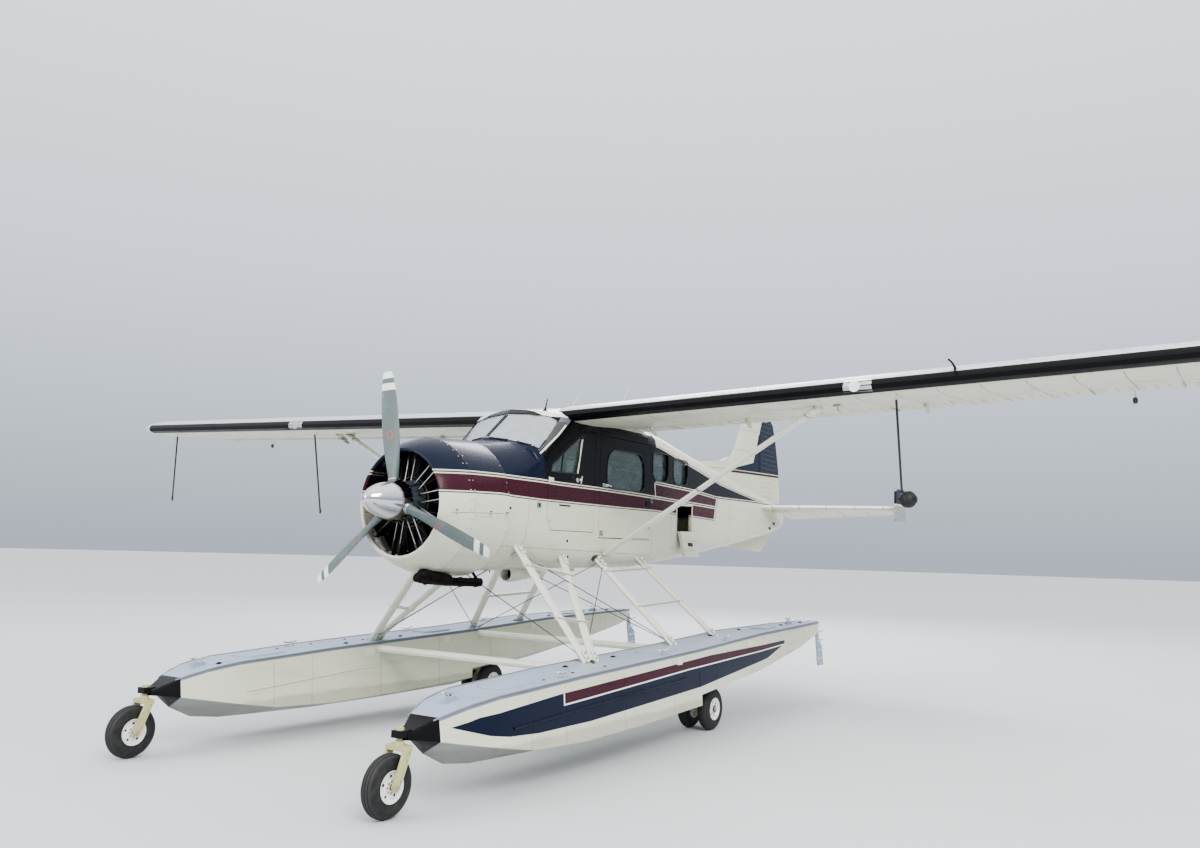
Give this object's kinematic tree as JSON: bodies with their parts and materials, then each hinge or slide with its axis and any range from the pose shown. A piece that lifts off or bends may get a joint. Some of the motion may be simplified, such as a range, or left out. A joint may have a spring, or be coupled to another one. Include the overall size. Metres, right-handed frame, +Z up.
{
  "type": "amphibious floatplane",
  "caption": "High-wing floatplane with a radial engine, strut-braced wings, amphibious floats on wheels, opening doors, a baggage hatch and moving control surfaces.",
  "frame": {"origin": "middle of the whole aircraft's box, on the floor that the wheels stand on", "axes": "+X forward along the propeller's axis, +Y to the left wing's tip, +Z up"},
  "size_m": [10.7004, 14.63, 4.129],
  "materials": {
    "cream_paint": "gloss",
    "navy_paint": "gloss",
    "grey_paint": "satin",
    "blade_paint": "satin",
    "polished_metal": "polished",
    "engine_metal": "satin",
    "burnt_steel": "matte",
    "glass": "gloss",
    "olive_paint": "satin",
    "tyre": "matte",
    "cabin_trim": "matte",
    "seat_cloth": "matte",
    "rope": "matte"
  },
  "bodies": {
    "airframe": {"fuselage_shell": "cream_paint", "tail_cone": "cream_paint", "nose_bowl": "cream_paint", "cowl_left": "navy_paint", "cowl_right": "navy_paint", "engine": "engine_metal", "exhaust": "burnt_steel", "windscreen": "glass", "rear_glass_left": "glass", "rear_glass_right": "glass", "instrument_panel": "cabin_trim", "seat_front": "seat_cloth", "seat_rear": "seat_cloth", "wing_left": "cream_paint", "wing_right": "cream_paint", "wing_strut_left": "cream_paint", "wing_strut_right": "cream_paint", "stabilizer": "cream_paint", "fin": "cream_paint", "float_left": "cream_paint", "float_right": "cream_paint", "front_struts_left": "cream_paint", "front_struts_right": "cream_paint", "rear_struts_left": "cream_paint", "rear_struts_right": "cream_paint", "spreader_front": "cream_paint", "spreader_rear": "cream_paint", "main_leg_left": "olive_paint", "main_leg_right": "olive_paint", "hand_rope_inner_left": "rope", "hand_rope_inner_right": "rope", "hand_rope_outer_left": "rope", "hand_rope_outer_right": "rope"},
    "propeller": {"spinner": "polished_metal", "blade_1": "blade_paint", "blade_2": "blade_paint", "blade_3": "blade_paint"},
    "rudder_body": {"rudder": "navy_paint"},
    "elevator_body": {"elevator": "cream_paint"},
    "aileron_body_left": {"aileron_left": "cream_paint"},
    "aileron_body_right": {"aileron_right": "cream_paint"},
    "flap_body_left": {"flap_left": "cream_paint"},
    "flap_body_right": {"flap_right": "cream_paint"},
    "front_door_left": {"door_front_left": "navy_paint", "door_front_glass_left": "glass"},
    "front_door_right": {"door_front_right": "navy_paint", "door_front_glass_right": "glass"},
    "cabin_door_left": {"door_cabin_left": "navy_paint", "door_cabin_glass_left": "glass"},
    "cabin_door_right": {"door_cabin_right": "navy_paint", "door_cabin_glass_right": "glass"},
    "baggage_door": {"baggage_hatch": "cream_paint"},
    "bow_caster_left": {"bow_fork_left": "olive_paint"},
    "bow_caster_right": {"bow_fork_right": "olive_paint"},
    "bow_wheel_body_left": {"bow_wheel_left": "tyre"},
    "bow_wheel_body_right": {"bow_wheel_right": "tyre"},
    "main_wheels_body_left": {"main_wheels_left": "tyre"},
    "main_wheels_body_right": {"main_wheels_right": "tyre"},
    "water_rudder_body_left": {"water_rudder_left": "grey_paint"},
    "water_rudder_body_right": {"water_rudder_right": "grey_paint"}
  },
  "joints": [
    {"name": "propeller_spin", "type": "hinge", "parent": "airframe", "child": "propeller", "pos_m": [3.6615, 0, 2.287], "axis": [1, 0, 0], "continuous": true},
    {"name": "rudder_turn", "type": "hinge", "parent": "airframe", "child": "rudder_body", "pos_m": [-4.4635, 0, 3.442], "axis": [0, 0, 1], "range_deg": [-25, 25]},
    {"name": "elevator_turn", "type": "hinge", "parent": "airframe", "child": "elevator_body", "pos_m": [-4.4005, 0, 2.607], "axis": [0, 1, 0], "range_deg": [-10, 36]},
    {"name": "aileron_left_turn", "type": "hinge", "parent": "airframe", "child": "aileron_body_left", "pos_m": [0.5815, 5.6, 3.4953], "axis": [0, 0.9996, 0.03], "range_deg": [-20, 20]},
    {"name": "aileron_right_turn", "type": "hinge", "parent": "airframe", "child": "aileron_body_right", "pos_m": [0.5815, -5.6, 3.4953], "axis": [0, 0.9996, -0.03], "range_deg": [-20, 20]},
    {"name": "flap_left_lower", "type": "hinge", "parent": "airframe", "child": "flap_body_left", "pos_m": [0.5815, 2.5, 3.4023], "axis": [0, -0.9996, -0.03], "range_deg": [0, 50]},
    {"name": "flap_right_lower", "type": "hinge", "parent": "airframe", "child": "flap_body_right", "pos_m": [0.5815, -2.5, 3.4023], "axis": [0, -0.9996, 0.03], "range_deg": [0, 50]},
    {"name": "front_door_left_open", "type": "hinge", "parent": "airframe", "child": "front_door_left", "pos_m": [2.1715, 0.662, 2.487], "axis": [0, 0, -1], "range_deg": [0, 70]},
    {"name": "front_door_right_open", "type": "hinge", "parent": "airframe", "child": "front_door_right", "pos_m": [2.1715, -0.662, 2.487], "axis": [0, 0, 1], "range_deg": [0, 70]},
    {"name": "cabin_door_left_open", "type": "hinge", "parent": "airframe", "child": "cabin_door_left", "pos_m": [1.2115, 0.662, 2.587], "axis": [0, 0, -1], "range_deg": [0, 55]},
    {"name": "cabin_door_right_open", "type": "hinge", "parent": "airframe", "child": "cabin_door_right", "pos_m": [1.2115, -0.662, 2.587], "axis": [0, 0, 1], "range_deg": [0, 55]},
    {"name": "baggage_hatch_close", "type": "hinge", "parent": "airframe", "child": "baggage_door", "pos_m": [-0.8735, 0.605, 2.149], "axis": [0.9968, 0.0797, -0.01], "range_deg": [0, 168]},
    {"name": "bow_caster_left_turn", "type": "hinge", "parent": "airframe", "child": "bow_caster_left", "pos_m": [5.0235, 1.535, 0.587], "axis": [0, 0, 1], "range_deg": [-80, 80]},
    {"name": "bow_caster_right_turn", "type": "hinge", "parent": "airframe", "child": "bow_caster_right", "pos_m": [5.0235, -1.535, 0.587], "axis": [0, 0, 1], "range_deg": [-80, 80]},
    {"name": "bow_wheel_left_roll", "type": "hinge", "parent": "bow_caster_left", "child": "bow_wheel_body_left", "pos_m": [5.1265, 1.535, 0.222], "axis": [0, 1, 0], "continuous": true},
    {"name": "bow_wheel_right_roll", "type": "hinge", "parent": "bow_caster_right", "child": "bow_wheel_body_right", "pos_m": [5.1265, -1.535, 0.222], "axis": [0, 1, 0], "continuous": true},
    {"name": "main_wheels_left_roll", "type": "hinge", "parent": "airframe", "child": "main_wheels_body_left", "pos_m": [0.4315, 1.535, 0.225], "axis": [0, 1, 0], "continuous": true},
    {"name": "main_wheels_right_roll", "type": "hinge", "parent": "airframe", "child": "main_wheels_body_right", "pos_m": [0.4315, -1.535, 0.225], "axis": [0, 1, 0], "continuous": true},
    {"name": "water_rudder_left_turn", "type": "hinge", "parent": "airframe", "child": "water_rudder_body_left", "pos_m": [-3.0385, 1.535, 0.887], "axis": [0, 0, 1], "range_deg": [-25, 25]},
    {"name": "water_rudder_right_turn", "type": "hinge", "parent": "airframe", "child": "water_rudder_body_right", "pos_m": [-3.0385, -1.535, 0.887], "axis": [0, 0, 1], "range_deg": [-25, 25]}
  ],
  "couplings": [
    {"joint": "aileron_right_turn", "follows": "aileron_left_turn", "ratio": -1},
    {"joint": "flap_right_lower", "follows": "flap_left_lower", "ratio": 1},
    {"joint": "water_rudder_left_turn", "follows": "rudder_turn", "ratio": 1},
    {"joint": "water_rudder_right_turn", "follows": "rudder_turn", "ratio": 1}
  ]
}
